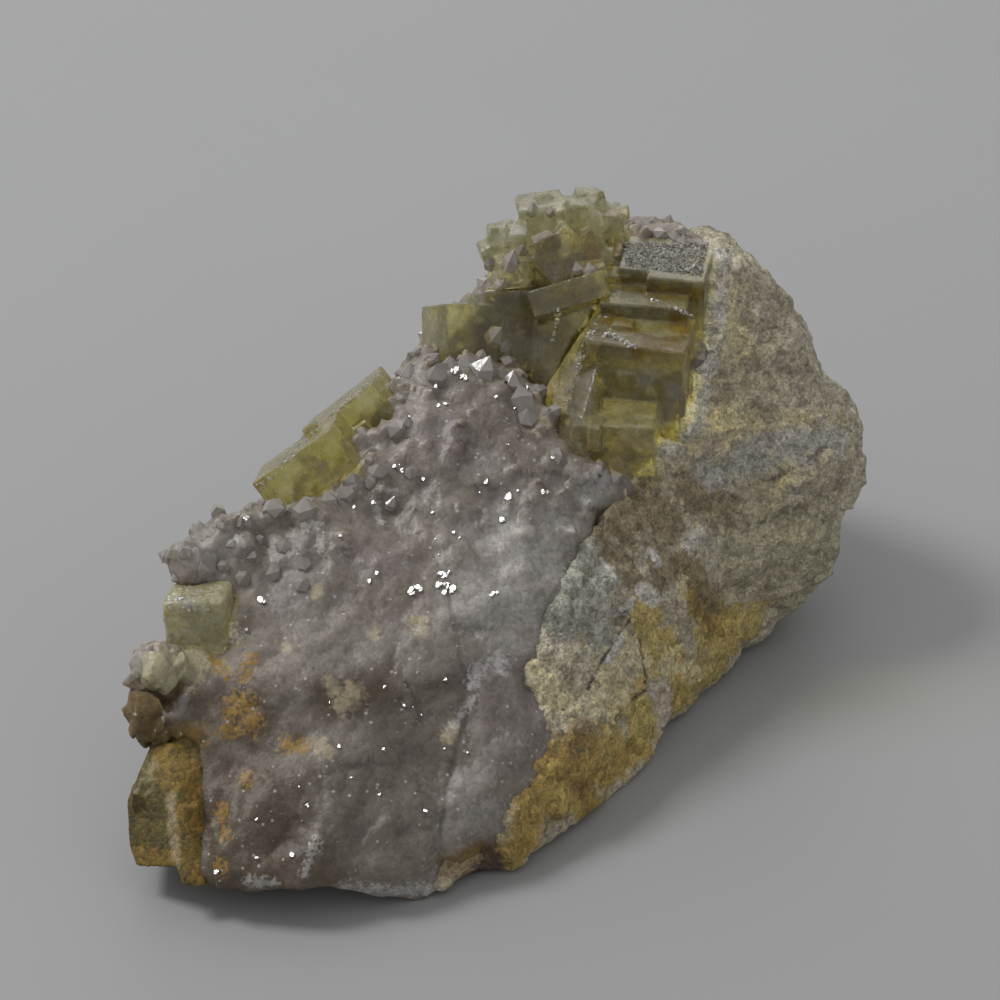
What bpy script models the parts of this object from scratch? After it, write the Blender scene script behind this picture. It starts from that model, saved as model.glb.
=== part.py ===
# Rough fluorite with quartz: a lump of host rock with a quartz crust and six growths of fluorite.
# All sizes are in millimetres until the meshes are made. The specimen is modelled with its crystal
# face towards -Y and is then turned, so that its length lies along +X.

import random
from math import cos, pi, radians, sin

import bmesh
import bpy
from mathutils import Euler, Matrix, Vector, noise

MM = 0.001
GAP = 0.3                        # clearance between two neighbouring solids
SEED = 7
LENGTH_TURN = radians(-58)       # brings the long axis onto +X
FACE_LEAN = radians(32)          # the crystal frame leans back by this angle
FACE_CUTS = 3                    # cuts along each edge between two landmarks
FLOOR_DEPTH = 20                 # the cutter that makes the flat underside
FLOOR_WIDTH = 400

HEART = Vector((11, 44, 16))      # every landmark below can be seen from here

# Relief of the broken faces: lumps per millimetre, height, and where in the noise they are taken.
COARSE = (0.16, 1.2, Vector((3, 8, 1)))
FINE = (0.42, 0.45, Vector((9, 2, 5)))

# Landmarks on the outside of the lump: across, away and up. The crystals stand on it.
TOE = [
    (0, 0, 0), (-10.4, -2.8, 4.4), (-20, -1.9, 3.8), (-26, 5, 4), (10.2, 4.2, 0),
    (2.6, 1, 1), (5.8, 3.8, 1.6), (7.6, 5.2, 3), (-5, -1.6, 2.6), (-15, -2.6, 4.4),
]
LEFT_SKYLINE = [
    (-26, 12.5, 8.7), (-27.4, 12.4, 14), (-26.8, 15, 16.4), (-24, 17.6, 18.6), (-24, 22, 21),
    (-24.4, 26.8, 25), (-18, 35.6, 25.7), (-12.8, 40, 26.8), (-7.7, 45.8, 29), (-3.9, 50, 31.6),
    (0, 49.2, 35.4), (1.5, 54, 35.4), (6, 60.5, 37.6), (12, 66, 41), (19, 68, 41.6), (26, 66, 42.4),
]
RIDGE = [
    (8.3, 5.4, 5.8), (12.8, 14.7, 10.3), (10.4, 20, 15.8), (15, 28.5, 21.1), (19.3, 36.9, 25.1),
    (24.9, 44.1, 27.1), (29.5, 50.4, 30), (31.8, 57.1, 38.5), (32.3, 62.1, 42.7),
]
CRYSTAL_FACE = [
    (-20.4, 4.9, 9.3), (-21.4, 10, 13), (-12, 1.2, 8.4), (-3, 2.4, 7), (3.5, 4.6, 6),
    (-14.8, 8.6, 12.9), (-6.6, 9, 12.6), (3.6, 10.8, 11.2), (-18.3, 20.2, 20.6), (-6.9, 20.2, 21),
    (3.4, 21.2, 20.2), (-19, 28, 24.6), (-9.4, 33.5, 26.6), (1.2, 33.5, 27.1), (10.8, 35.2, 26.2),
    (-3, 41, 31), (4.5, 43, 32.4), (6.5, 47.6, 34.4), (11.9, 44, 31), (13, 50.4, 30), (20, 52, 33),
    (10.8, 55.6, 33.4), (22, 60, 38),
]
RIGHT_FACE = [
    (19.2, 15.8, 0), (26, 26.4, 0), (36.3, 44.1, 0), (41.5, 48.5, 3), (45.2, 47.6, 8),
    (47, 49, 14.4), (49.6, 52.6, 20), (48.4, 56, 24.6), (42.4, 56.6, 30.6), (41, 61.6, 36.2),
    (14.4, 9.6, 4.8), (18, 17, 8.8), (21, 25, 13), (27.5, 30.5, 7), (27, 35, 16), (33, 40, 12),
    (33.5, 46, 20), (40.6, 48, 17), (36, 50.6, 26), (36.4, 60.5, 39.8),
]
BACK = [
    (46, 66, 22), (41, 71, 29), (34, 70, 38), (44, 64, 9), (40, 70, 3), (24, 75, 39), (13, 72.5, 36),
    (2, 65, 30.5), (-6, 54, 26), (-14, 45, 22), (-21, 36, 18), (-24, 27, 13), (-26, 18, 7),
    (30, 79, 27), (17, 80, 23), (3, 73, 19), (-9, 60, 14), (-17, 48, 10), (-23, 34, 7),
    (27, 80, 4), (12, 79, 5), (-1, 70, 4), (-11, 56, 3), (-18, 42, 4), (-24, 28, 3), (-26, 13, 3),
]
UNDERSIDE = [
    (0, 2.5, -1), (9.6, 6.6, -1), (18.4, 17.6, -1), (25, 28.4, -1), (34.4, 45.4, -1), (35, 60, -1),
    (22, 71, -1), (7, 64, -0.8), (-2, 51, -0.8), (-7, 36, -0.8), (-5, 15, -0.8), (12, 36, -2),
]

# Where quartz gives way to rock, from the toe up the ridge and over the back. The contact runs
# down into the lump from each of these points in the direction CONTACT_DIP.
CONTACT = [
    (2, -9, -3), (2.8, -0.4, 0.6), (3.2, 3.2, 5.4), (8.6, 5.5, 6), (13.4, 14.9, 10.4), (11.2, 20.3, 15.6),
    (15.8, 28.6, 20.8), (20, 36.6, 24.8), (25.4, 43.8, 27), (30, 50.2, 30), (32.4, 57, 38.4),
    (33, 63, 43), (28, 76, 40), (20, 92, 34),
]
CONTACT_DIP = Vector((-0.42, 0.1, -1))
CONTACT_UP = Vector((0.1, 0, 1))
CONTACT_RISE = 30                # how far the contact is carried above the lump
CONTACT_DEPTH = 60
CONTACT_ROWS = 12
CONTACT_BUMP = 0.9
CONTACT_GRAIN = 0.2              # bumps per millimetre of the contact
SIDE_REACH = 120

# A cube-shaped crystal: centre, edge lengths (right, up, out), and turns in degrees. It spins
# about its own up axis, leans back about the right axis, then rolls about the out axis.
UPRIGHT = 32                     # this lean stands a crystal upright
BLOCK = [
    ((24.8, 61.1, 38.2), (5, 8, 8), (UPRIGHT, -11, 0)),
    ((28.6, 59.1, 38.3), (6.4, 8, 9), (UPRIGHT, -11, 0)),
    ((25, 56.5, 36.8), (9.6, 7, 8), (UPRIGHT, -11, 2)),
    ((23.6, 50.6, 32.6), (11.2, 11.6, 8), (UPRIGHT, -11, -2)),
    ((21.2, 43.8, 28.8), (8.8, 6, 6.4), (28, -8, 2)),
]
CREST = [
    ((4.3, 54.4, 34.5), (6.5, 8.4, 6.4), (0, 27, 0)),
    ((9.9, 57.4, 34.3), (8, 9, 6.6), (2, 18, 4)),
    ((16.9, 56.2, 32.8), (10, 10, 8), (-6, -22, 10)),
    ((16.8, 57.3, 38.2), (8.6, 3.2, 7), (-14, -8, 14)),
]
SUMMIT = [
    ((15.6, 61.3, 41.5), (5.7, 5.7, 6), (8, 0, 45)),
    ((9.5, 62.7, 41.7), (4.6, 5.5, 3.6), (UPRIGHT, 2, 1)),
    ((13.5, 68.1, 42.5), (5, 5.6, 5), (28, 6, 6)),
    ((17.6, 66.7, 43.2), (4.6, 5, 5), (24, -14, 10)),
    ((19.9, 68, 41.7), (4.6, 5, 5), (26, 8, -6)),
    ((17.7, 61.8, 41.6), (4.6, 4.6, 6), (12, 6, 36)),
    ((9.6, 60.4, 40.4), (3.6, 3.6, 5), (20, 14, 0)),
    ((5.7, 59.2, 39.2), (2.8, 3, 4), (24, 10, -2)),
    ((18.1, 59.8, 41), (2.6, 2.4, 5), (30, 20, -4)),
]
TERRACE = [
    ((-7.1, 47.7, 28.6), (10.2, 5.4, 8.6), (9, -14, 39)),
    ((-11.8, 39.2, 28), (10.4, 5, 8), (10, -12, 37)),
]
FLANK_CUBE = [
    ((-22.4, 21.1, 19.9), (6.7, 7.6, 6), (20, -6, 4)),
]

# Broken and worn crystals are the hull of their corners.
BLOCK_FLANK = [
    (21.1, 57.6, 40.4), (19.6, 55.9, 38.5), (17.2, 53.1, 35.5), (13.7, 49.5, 32), (13.2, 46.3, 29.6),
    (14.3, 43.3, 27.8), (15.2, 41.2, 27.4), (21.8, 55.9, 40.4), (19.7, 51.5, 37.9), (18.8, 46, 34.7),
    (18.2, 43.6, 31.6), (16.8, 41.1, 30.1), (18.3, 39.8, 27.8), (19.6, 51.3, 29.2), (19.7, 58, 34.3),
    (18.5, 45.8, 26.1),
]
FOOT_LEFT = [
    (-27.2, 10.5, 12), (-24.9, 9.5, 13.3), (-23.4, 9.7, 11.8), (-29.4, 6.3, 8.2), (-29.1, 3.5, 4.7),
    (-28.3, 1.9, 3.1), (-23.8, -0.2, 4.6), (-23.5, 3.8, 10.2), (-24.2, 7, 12.2), (-26.7, 14.1, 7.5),
    (-28, 8.4, 2.6), (-23.9, 7.6, 2.6), (-24, 12.8, 7.2),
]
FOOT_RIGHT = [
    (-25.2, 12.1, 12.8), (-22.2, 12.6, 13.5), (-21.5, 8.5, 11.7), (-21.3, 5.1, 9.2), (-20.8, -1.7, 3.5),
    (-23.1, -2, 3.6), (-24, -0.2, 4.9), (-23.9, 4.3, 11), (-24.7, 8.7, 13), (-23.1, 15.2, 9.3),
    (-22.3, 6.7, 2), (-23.8, 6.7, 2),
]

# The growths in the order in which they are cut: each one makes room for those before it.
GROWTHS = {
    "fluorite_block": (BLOCK, [BLOCK_FLANK]),
    "fluorite_crest_cubes": (CREST, []),
    "fluorite_summit_cubes": (SUMMIT, []),
    "fluorite_terrace": (TERRACE, []),
    "fluorite_flank_cube": (FLANK_CUBE, []),
    "fluorite_foot": ([], [FOOT_LEFT, FOOT_RIGHT]),
}

# Angular knobs of quartz that stand out of the left edge: centre and radius.
KNOBS = [((-26.4, 16.4, 17.6), 2.8), ((-27, 13, 14), 2.7), ((-24, 25.8, 24.2), 2.8), ((-21, 31.6, 26.2), 2)]
KNOB_CORNERS = 18

# Quartz points: how many at most face out with the crystals and how many the other way, how far
# apart they stand at the least, and the range of their radius and of their length above the crust.
POINTS_FACING = 160
POINTS_BEHIND = 50
POINT_SPACING = 2.2
POINT_RADIUS = (0.6, 1.6)
POINT_LENGTH = (1.2, 2.6)
POINT_ROOT = 1.6                 # how deep a point reaches into the crust
POINT_SIDES = 6
POINT_TIP = 1.3                  # height of a point's pyramid, in radii
POINT_LEAN = 0.45
DRUSE_FROM = 36                  # lowest reach of the points, measured up the crystal frame
DRUSE_FLOOR = 12                 # and above the ground
FACING = 0.2                     # a face that looks this far out counts as facing

FINISHES = {
    "rock": ((0.33, 0.28, 0.18, 1), 0.9),
    "quartz": ((0.55, 0.50, 0.50, 1), 0.35),
    "fluorite": ((0.45, 0.42, 0.10, 1), 0.2),
}


def clear_scene():
    for old in list(bpy.data.objects):
        bpy.data.objects.remove(old, do_unlink=True)


def finish_named(key):
    found = bpy.data.materials.get(key)
    if found:
        return found
    made = bpy.data.materials.new(key)
    made.use_nodes = True
    colour, roughness = FINISHES[key]
    shader = made.node_tree.nodes["Principled BSDF"]
    shader.inputs["Base Color"].default_value = colour
    shader.inputs["Roughness"].default_value = roughness
    shader.inputs["Metallic"].default_value = 0
    return made


def object_from(bm, name, finish=None):
    bmesh.ops.recalc_face_normals(bm, faces=bm.faces)
    bmesh.ops.scale(bm, vec=(MM, MM, MM), verts=bm.verts)
    mesh = bpy.data.meshes.new(name)
    bm.to_mesh(mesh)
    bm.free()
    made = bpy.data.objects.new(name, mesh)
    bpy.context.scene.collection.objects.link(made)
    if finish:
        mesh.materials.append(finish_named(finish))
    else:
        made.hide_render = True
        made.display_type = "WIRE"
    return made


def crystal_frame():
    # Columns: right, up along the crystal face, out of it.
    up = Vector((0, sin(FACE_LEAN), cos(FACE_LEAN)))
    out = Vector((0, -cos(FACE_LEAN), sin(FACE_LEAN)))
    right = Vector((1, 0, 0))
    return Matrix((right, up, out)).transposed()


def bumped(point, normal):
    # Coarse lumps with a finer grain on top, the same for every run.
    height = 0
    for scale, most, start in (COARSE, FINE):
        height += most * noise.noise(point * scale + start)
    return point + normal * height


def lump():
    landmarks = TOE + LEFT_SKYLINE + RIDGE + CRYSTAL_FACE + RIGHT_FACE + BACK + UNDERSIDE
    bm = bmesh.new()
    place = {}
    for spot in landmarks:
        spot = Vector(spot)
        place[bm.verts.new((spot - HEART).normalized())] = spot
    bmesh.ops.convex_hull(bm, input=bm.verts)
    for vert, spot in place.items():
        vert.co = spot
    bmesh.ops.recalc_face_normals(bm, faces=bm.faces)
    bmesh.ops.subdivide_edges(bm, edges=bm.edges, cuts=FACE_CUTS, use_grid_fill=True, smooth=0.35)
    bmesh.ops.triangulate(bm, faces=bm.faces)
    bm.normal_update()
    moved = [bumped(vert.co, vert.normal) for vert in bm.verts]
    for vert, spot in zip(bm.verts, moved):
        vert.co = spot
    return bm


def contact_sheet(shift):
    # Rows of points down the contact, moved sideways by shift.
    columns = []
    for index, spot in enumerate(CONTACT):
        spot = Vector(spot)
        before = Vector(CONTACT[max(index - 1, 0)])
        after = Vector(CONTACT[min(index + 1, len(CONTACT) - 1)])
        sideways = (after - before).cross(CONTACT_DIP).normalized()
        if sideways.x > 0:
            sideways.negate()
        column = []
        for row in range(CONTACT_ROWS + 1):
            depth = -CONTACT_RISE + (CONTACT_RISE + CONTACT_DEPTH) * row / CONTACT_ROWS
            at = spot + CONTACT_DIP * depth
            if depth < 0:
                at = spot + CONTACT_UP * -depth
            bump = CONTACT_BUMP * noise.noise(at * CONTACT_GRAIN)
            column.append(at + sideways * (bump + shift))
        columns.append(column)
    return columns


def side_of_contact(name, shift, reach):
    # Everything on one side of the contact, as a closed block.
    bm = bmesh.new()
    near = [[bm.verts.new(at) for at in column] for column in contact_sheet(shift)]
    far = [[bm.verts.new((at[0] + reach, at[1], at[2])) for at in column]
           for column in contact_sheet(shift)]
    across, down = len(near), len(near[0])
    for sheet in (near, far):
        for i in range(across - 1):
            for j in range(down - 1):
                corner = (sheet[i][j], sheet[i + 1][j], sheet[i + 1][j + 1], sheet[i][j + 1])
                bm.faces.new(corner)
    rim = [(i, 0) for i in range(across)] + [(across - 1, j) for j in range(1, down)]
    rim += [(i, down - 1) for i in range(across - 2, -1, -1)] + [(0, j) for j in range(down - 2, 0, -1)]
    for here, there in zip(rim, rim[1:] + rim[:1]):
        bm.faces.new((near[here[0]][here[1]], near[there[0]][there[1]],
                      far[there[0]][there[1]], far[here[0]][here[1]]))
    bmesh.ops.triangulate(bm, faces=bm.faces)
    return object_from(bm, name)


def add_cube(bm, centre, sizes, turns, grow):
    turn = Euler([radians(angle) for angle in turns], "YXZ").to_matrix()
    at = Matrix.Translation(centre) @ (crystal_frame() @ turn).to_4x4()
    size = Matrix.Diagonal([side + 2 * grow for side in sizes] + [1])
    bmesh.ops.create_cube(bm, size=1, matrix=at @ size)


def add_worn(bm, corners, grow):
    verts = [bm.verts.new(corner) for corner in corners]
    hull = bmesh.ops.convex_hull(bm, input=verts)
    spare = set(hull["geom_interior"]) | set(hull["geom_unused"])
    bmesh.ops.delete(bm, geom=[vert for vert in spare if isinstance(vert, bmesh.types.BMVert)])
    bmesh.ops.recalc_face_normals(bm, faces=bm.faces)
    bm.normal_update()
    moved = [vert.co + vert.normal * vert.calc_shell_factor() * grow for vert in bm.verts]
    for vert, spot in zip(bm.verts, moved):
        vert.co = spot


def crystal_objects(name, cubes, worn, grow=0):
    made = []
    for i, cube in enumerate(cubes):
        bm = bmesh.new()
        add_cube(bm, *cube, grow)
        made.append(object_from(bm, f"{name}_cube_{i}"))
    for i, corners in enumerate(worn):
        bm = bmesh.new()
        add_worn(bm, corners, grow)
        made.append(object_from(bm, f"{name}_worn_{i}"))
    return made


def collection_of(name, objects):
    made = bpy.data.collections.new(name)
    bpy.context.scene.collection.children.link(made)
    made.hide_render = True
    for each in objects:
        bpy.context.scene.collection.objects.unlink(each)
        made.objects.link(each)
    return made


def boolean(target, operation, other):
    modifier = target.modifiers.new(operation.title(), "BOOLEAN")
    modifier.operation = operation
    modifier.solver = "EXACT"
    modifier.use_self = True
    if isinstance(other, bpy.types.Collection):
        modifier.operand_type = "COLLECTION"
        modifier.collection = other
    else:
        modifier.object = other


def growth(name, cubes, worn, neighbours):
    # The crystals of one growth, joined in one solid and clear of the growths before it.
    first, *others = crystal_objects(name, cubes, worn)
    first.name = name
    first.hide_render = False
    first.display_type = "TEXTURED"
    first.data.materials.append(finish_named("fluorite"))
    if others:
        boolean(first, "UNION", collection_of(f"{name}_joined", others))
    for neighbour in neighbours:
        boolean(first, "DIFFERENCE", neighbour)
    return first


def knobs():
    # Each knob is the hull of corners strewn over a sphere.
    dice = random.Random(SEED)
    made = []
    for i, (centre, radius) in enumerate(KNOBS):
        bm = bmesh.new()
        for _ in range(KNOB_CORNERS):
            way = Vector([dice.gauss(0, 1) for _ in range(3)]).normalized()
            bm.verts.new(Vector(centre) + way * radius)
        bmesh.ops.convex_hull(bm, input=bm.verts)
        made.append(object_from(bm, f"quartz_knob_{i}"))
    return collection_of("quartz_knobs", made)


def on_druse(spot):
    # The druse covers the upper half of the crystal side and the slope behind its skyline.
    up = spot.y * sin(FACE_LEAN) + spot.z * cos(FACE_LEAN)
    return up > DRUSE_FROM and spot.z > DRUSE_FLOOR


def add_point(bm, at, along, radius, length):
    # A six-sided prism that ends in a six-sided pyramid.
    turn = Vector((0, 0, 1)).rotation_difference(along).to_matrix()
    tip = bm.verts.new(at + along * length)
    rings = []
    for height in (-POINT_ROOT, length - radius * POINT_TIP):
        ring = []
        for i in range(POINT_SIDES):
            angle = 2 * pi * i / POINT_SIDES
            corner = Vector((radius * cos(angle), radius * sin(angle), height))
            ring.append(bm.verts.new(at + turn @ corner))
        rings.append(ring)
    low, high = rings
    for i in range(POINT_SIDES):
        j = (i + 1) % POINT_SIDES
        bm.faces.new((low[i], low[j], high[j], high[i]))
        bm.faces.new((high[i], high[j], tip))
    bm.faces.new(list(reversed(low)))


def spread(faces, most, dice):
    # Faces picked at random, no two of them nearer than the spacing.
    chosen = []
    for face in dice.sample(faces, len(faces)):
        if all((face.center - other.center).length > POINT_SPACING * MM for other in chosen):
            chosen.append(face)
    return chosen[:most]


def druse(body):
    dice = random.Random(SEED)
    out = crystal_frame().col[2]
    covered = [face for face in body.data.polygons if on_druse(face.center / MM)]
    facing = [face for face in covered if face.normal.dot(out) > FACING]
    behind = [face for face in covered if face.normal.dot(out) <= FACING]
    bm = bmesh.new()
    for face in spread(facing, POINTS_FACING, dice) + spread(behind, POINTS_BEHIND, dice):
        lean = Vector([dice.uniform(-POINT_LEAN, POINT_LEAN) for _ in range(3)])
        along = (face.normal + lean).normalized()
        radius = dice.uniform(*POINT_RADIUS)
        length = max(dice.uniform(*POINT_LENGTH), radius)
        add_point(bm, face.center / MM, along, radius, length)
    return object_from(bm, "quartz_points")


def floor_cutter():
    bm = bmesh.new()
    size = Matrix.Diagonal((FLOOR_WIDTH, FLOOR_WIDTH, FLOOR_DEPTH, 1))
    bmesh.ops.create_cube(bm, size=1, matrix=Matrix.Translation((0, 0, -FLOOR_DEPTH / 2)) @ size)
    return object_from(bm, "floor_cutter")


def biggest_body(made):
    # Applies the modifiers and drops the crumbs that they leave.
    graph = bpy.context.evaluated_depsgraph_get()
    mesh = bpy.data.meshes.new_from_object(made.evaluated_get(graph))
    made.modifiers.clear()
    made.data = mesh
    bm = bmesh.new()
    bm.from_mesh(mesh)
    left, bodies = set(bm.verts), []
    while left:
        stack, body = [left.pop()], []
        while stack:
            vert = stack.pop()
            body.append(vert)
            for edge in vert.link_edges:
                other = edge.other_vert(vert)
                if other in left:
                    left.remove(other)
                    stack.append(other)
        bodies.append(body)
    bodies.sort(key=len)
    for crumb in bodies[:-1]:
        bmesh.ops.delete(bm, geom=crumb, context="VERTS")
    bm.to_mesh(mesh)
    bm.free()


def stand(parts):
    # Turns the specimen's length onto +X and puts the middle of its underside at the origin.
    bpy.context.view_layer.update()
    turn = Matrix.Rotation(LENGTH_TURN, 4, "Z")
    for part in parts:
        part.data.transform(turn)
    corners = [vert.co for part in parts for vert in part.data.vertices]
    low = Vector([min(at[axis] for at in corners) for axis in range(3)])
    high = Vector([max(at[axis] for at in corners) for axis in range(3)])
    middle = (low + high) / 2
    middle.z = low.z
    stand_empty = bpy.data.objects.new("specimen", None)
    bpy.context.scene.collection.objects.link(stand_empty)
    for part in parts:
        part.parent = stand_empty
    stand_empty.location = -middle


def main():
    clear_scene()
    fluorites, pockets = [], []
    for name, (cubes, worn) in GROWTHS.items():
        fluorites.append(growth(name, cubes, worn, pockets))
        cutters = crystal_objects(f"{name}_pocket", cubes, worn, GAP)
        pockets.append(collection_of(f"{name}_pocket", cutters))
    under = floor_cutter()

    rock = object_from(lump(), "matrix_rock", "rock")
    boolean(rock, "INTERSECT", side_of_contact("rock_side", -GAP / 2, SIDE_REACH))

    crust = object_from(lump(), "quartz_crust", "quartz")
    boolean(crust, "UNION", knobs())
    boolean(crust, "UNION", druse(crust))
    boolean(crust, "INTERSECT", side_of_contact("crust_side", GAP / 2, -SIDE_REACH))

    for part in (rock, crust):
        for pocket in pockets:
            boolean(part, "DIFFERENCE", pocket)
        boolean(part, "DIFFERENCE", under)

    parts = [rock, crust] + fluorites
    for part in parts:
        biggest_body(part)
    stand(parts)


main()
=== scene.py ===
import math
import random

import bmesh
import bpy
import numpy as np
from mathutils import Euler, Matrix, Vector, noise
from mathutils.bvhtree import BVHTree


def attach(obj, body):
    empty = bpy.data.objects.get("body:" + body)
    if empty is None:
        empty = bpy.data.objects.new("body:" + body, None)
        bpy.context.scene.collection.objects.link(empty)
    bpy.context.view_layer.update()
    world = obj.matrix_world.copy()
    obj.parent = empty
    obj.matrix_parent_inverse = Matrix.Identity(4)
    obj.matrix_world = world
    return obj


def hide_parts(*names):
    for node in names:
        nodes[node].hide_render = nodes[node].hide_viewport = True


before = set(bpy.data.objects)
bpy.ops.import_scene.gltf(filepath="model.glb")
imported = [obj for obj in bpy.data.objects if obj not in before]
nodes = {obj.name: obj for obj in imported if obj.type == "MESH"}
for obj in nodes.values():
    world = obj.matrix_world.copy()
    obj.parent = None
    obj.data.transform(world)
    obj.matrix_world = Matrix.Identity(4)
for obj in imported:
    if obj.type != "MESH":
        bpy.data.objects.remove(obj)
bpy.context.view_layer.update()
mm = 0.001

fluoriteNodes = ["fluorite_block", "fluorite_crest_cubes", "fluorite_summit_cubes",
                 "fluorite_terrace", "fluorite_flank_cube", "fluorite_foot"]
backWay = (0.85, 0.53, 0)                  # where the hidden side looks
druseUp = Vector((0.449, 0.281, 0.848))    # up the slope that the quartz crystals grow on

# Camera, floor and light.

cameraValues = {
    "place": (-0.2502, -0.15744, 0.20982),
    "tilt": 58,                # degrees up from looking straight down
    "turn": -58,               # degrees round the vertical
    "lens": 117.18,
    "sensor": 36,
    "nearest": 0.01,
    "farthest": 10,
    "frameWidth": 1000,        # the frame points below are counted in these
}


def addCamera(values):
    data = bpy.data.cameras.new("camera")
    data.lens = values["lens"]
    data.sensor_width = values["sensor"]
    data.clip_start = values["nearest"]
    data.clip_end = values["farthest"]
    camera = bpy.data.objects.new("camera", data)
    camera.location = values["place"]
    camera.rotation_euler = (math.radians(values["tilt"]), 0, math.radians(values["turn"]))
    bpy.context.scene.collection.objects.link(camera)
    bpy.context.scene.camera = camera
    bpy.context.view_layer.update()
    return camera


def onPiece(tree, x, y):
    # Where the line of sight through a frame point meets the piece.
    values = cameraValues
    reach = values["lens"] / values["sensor"] * values["frameWidth"]
    half = values["frameWidth"] / 2
    along = Vector(((x - half) / reach, (half - y) / reach, -1)).normalized()
    return tree.ray_cast(camera.matrix_world.translation, camera.matrix_world.to_3x3() @ along)


stageValues = {
    "floorSize": 4,
    "floorColour": (0.285, 0.285, 0.285),
    "floorShade": 0.93,
    "floorRoughness": 0.6,
    "skyColour": (0.98, 0.99, 1),
    "skyStrength": 0.58,
    "windowWidth": 0.34,
    "windowPower": 9.0,
    "windowFrom": (-0.15, 0.75, 0.95),
    "screenWidth": 0.9,
    "screenPower": 2.7,
    "screenFrom": (1.0, 0.62, 0.78),     # far side, low: puts the sheen on what lies level
}


def addStage(values):
    bpy.ops.mesh.primitive_plane_add(size=values["floorSize"], location=(0, 0, 0))
    floor = bpy.context.object
    floor.name = "floor"
    floor.data.materials.append(floorFinish(values))

    world = bpy.data.worlds.new("studio")
    world.use_nodes = True
    fill(world.node_tree, world.node_tree.nodes["Background"], Color=values["skyColour"],
         Strength=values["skyStrength"])
    bpy.context.scene.world = world

    for name in ("window", "screen"):
        data = bpy.data.lights.new(name, "AREA")
        data.size = values[name + "Width"]
        data.energy = values[name + "Power"]
        lamp = bpy.data.objects.new(name, data)
        lamp.location = values[name + "From"]
        lamp.rotation_euler = lamp.location.to_track_quat("Z", "Y").to_euler()
        bpy.context.scene.collection.objects.link(lamp)
    bpy.context.scene.view_settings.view_transform = "Standard"


def floorFinish(values):
    material, tree, shader = newMaterial("floor_board")
    colour = values["floorColour"]
    darker = [values["floorShade"] * part for part in colour]
    fill(tree, shader, Base_Color=blendColours(tree, noiseAt(tree, 0.01, 2.0), darker, colour),
         Roughness=values["floorRoughness"])
    return material


# Shader helpers.

def feed(tree, socket, value):
    if isinstance(value, bpy.types.NodeSocket):
        tree.links.new(value, socket)
    elif socket.type == "RGBA":
        socket.default_value = (*value[:3], 1)
    else:
        socket.default_value = value


def fill(tree, node, **sockets):
    # Fills a node's sockets, with values or with other nodes' outputs.
    for name, value in sockets.items():
        feed(tree, node.inputs[name.replace("_", " ")], value)
    return node


def put(tree, kind, **sockets):
    return fill(tree, tree.nodes.new(kind), **sockets)


def maths(tree, operation, first, second=0.0, third=0.0):
    node = tree.nodes.new("ShaderNodeMath")
    node.operation = operation
    for socket, value in zip(node.inputs, (first, second, third)):
        feed(tree, socket, value)
    return node.outputs[0]


def blendColours(tree, share, first, second, kind="MIX"):
    node = tree.nodes.new("ShaderNodeMix")
    node.data_type = "RGBA"
    node.blend_type = kind
    for i, value in ((0, share), (6, first), (7, second)):
        feed(tree, node.inputs[i], value)
    return node.outputs[2]


def ramp(tree, value, low, high, bottom=0.0, top=1.0):
    node = put(tree, "ShaderNodeMapRange", Value=value, From_Min=low, From_Max=high, To_Min=bottom,
               To_Max=top)
    node.interpolation_type = "SMOOTHSTEP"
    return node.outputs["Result"]


def newMaterial(name):
    material = bpy.data.materials.new(name)
    material.use_nodes = True
    tree = material.node_tree
    return material, tree, tree.nodes["Principled BSDF"]


def objectSpace(tree):
    # The object's own coordinates, from one node in each material.
    node = tree.nodes.get("Texture Coordinate") or tree.nodes.new("ShaderNodeTexCoord")
    return node.outputs["Object"]


def noiseAt(tree, scale, detail=4.0, rough=0.55, twist=0.0):
    # Scale is in lumps per millimetre.
    node = put(tree, "ShaderNodeTexNoise", Vector=objectSpace(tree), Scale=scale / mm, Detail=detail,
               Roughness=rough, Distortion=twist)
    return node.outputs["Fac"]


def newGroup(name, ins, outs):
    group = bpy.data.node_groups.new(name, "ShaderNodeTree")
    for way, sockets in (("INPUT", ins), ("OUTPUT", outs)):
        for label in sockets:
            kind = "Vector" if label == "Position" else "Float"
            group.interface.new_socket(name=label, in_out=way, socket_type="NodeSocket" + kind)
    start = group.nodes.new("NodeGroupInput")
    end = group.nodes.new("NodeGroupOutput")
    return group, start.outputs, end.inputs


def useGroup(tree, group, **sockets):
    node = tree.nodes.new("ShaderNodeGroup")
    node.node_tree = group
    return fill(tree, node, **sockets).outputs


def makeStainGroup():
    # Breaks the soft edge of a painted mask into ragged patches.
    group, start, end = newGroup("ragged stain", ["Mask", "Patches", "Ragged", "Soft"], ["Share"])
    spread = maths(group, "MULTIPLY_ADD", start["Patches"], 5.0, -2.5)     # the noise, spread round 0
    pushed = maths(group, "MULTIPLY_ADD", spread, start["Ragged"], start["Mask"])
    low = maths(group, "SUBTRACT", 0.5, start["Soft"])
    high = maths(group, "ADD", 0.5, start["Soft"])
    share = ramp(group, pushed, low, high)
    edge = ramp(group, start["Mask"], 0.0, 0.25)      # nothing where the mask ends
    group.links.new(maths(group, "MULTIPLY", share, edge), end["Share"])
    return group


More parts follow.
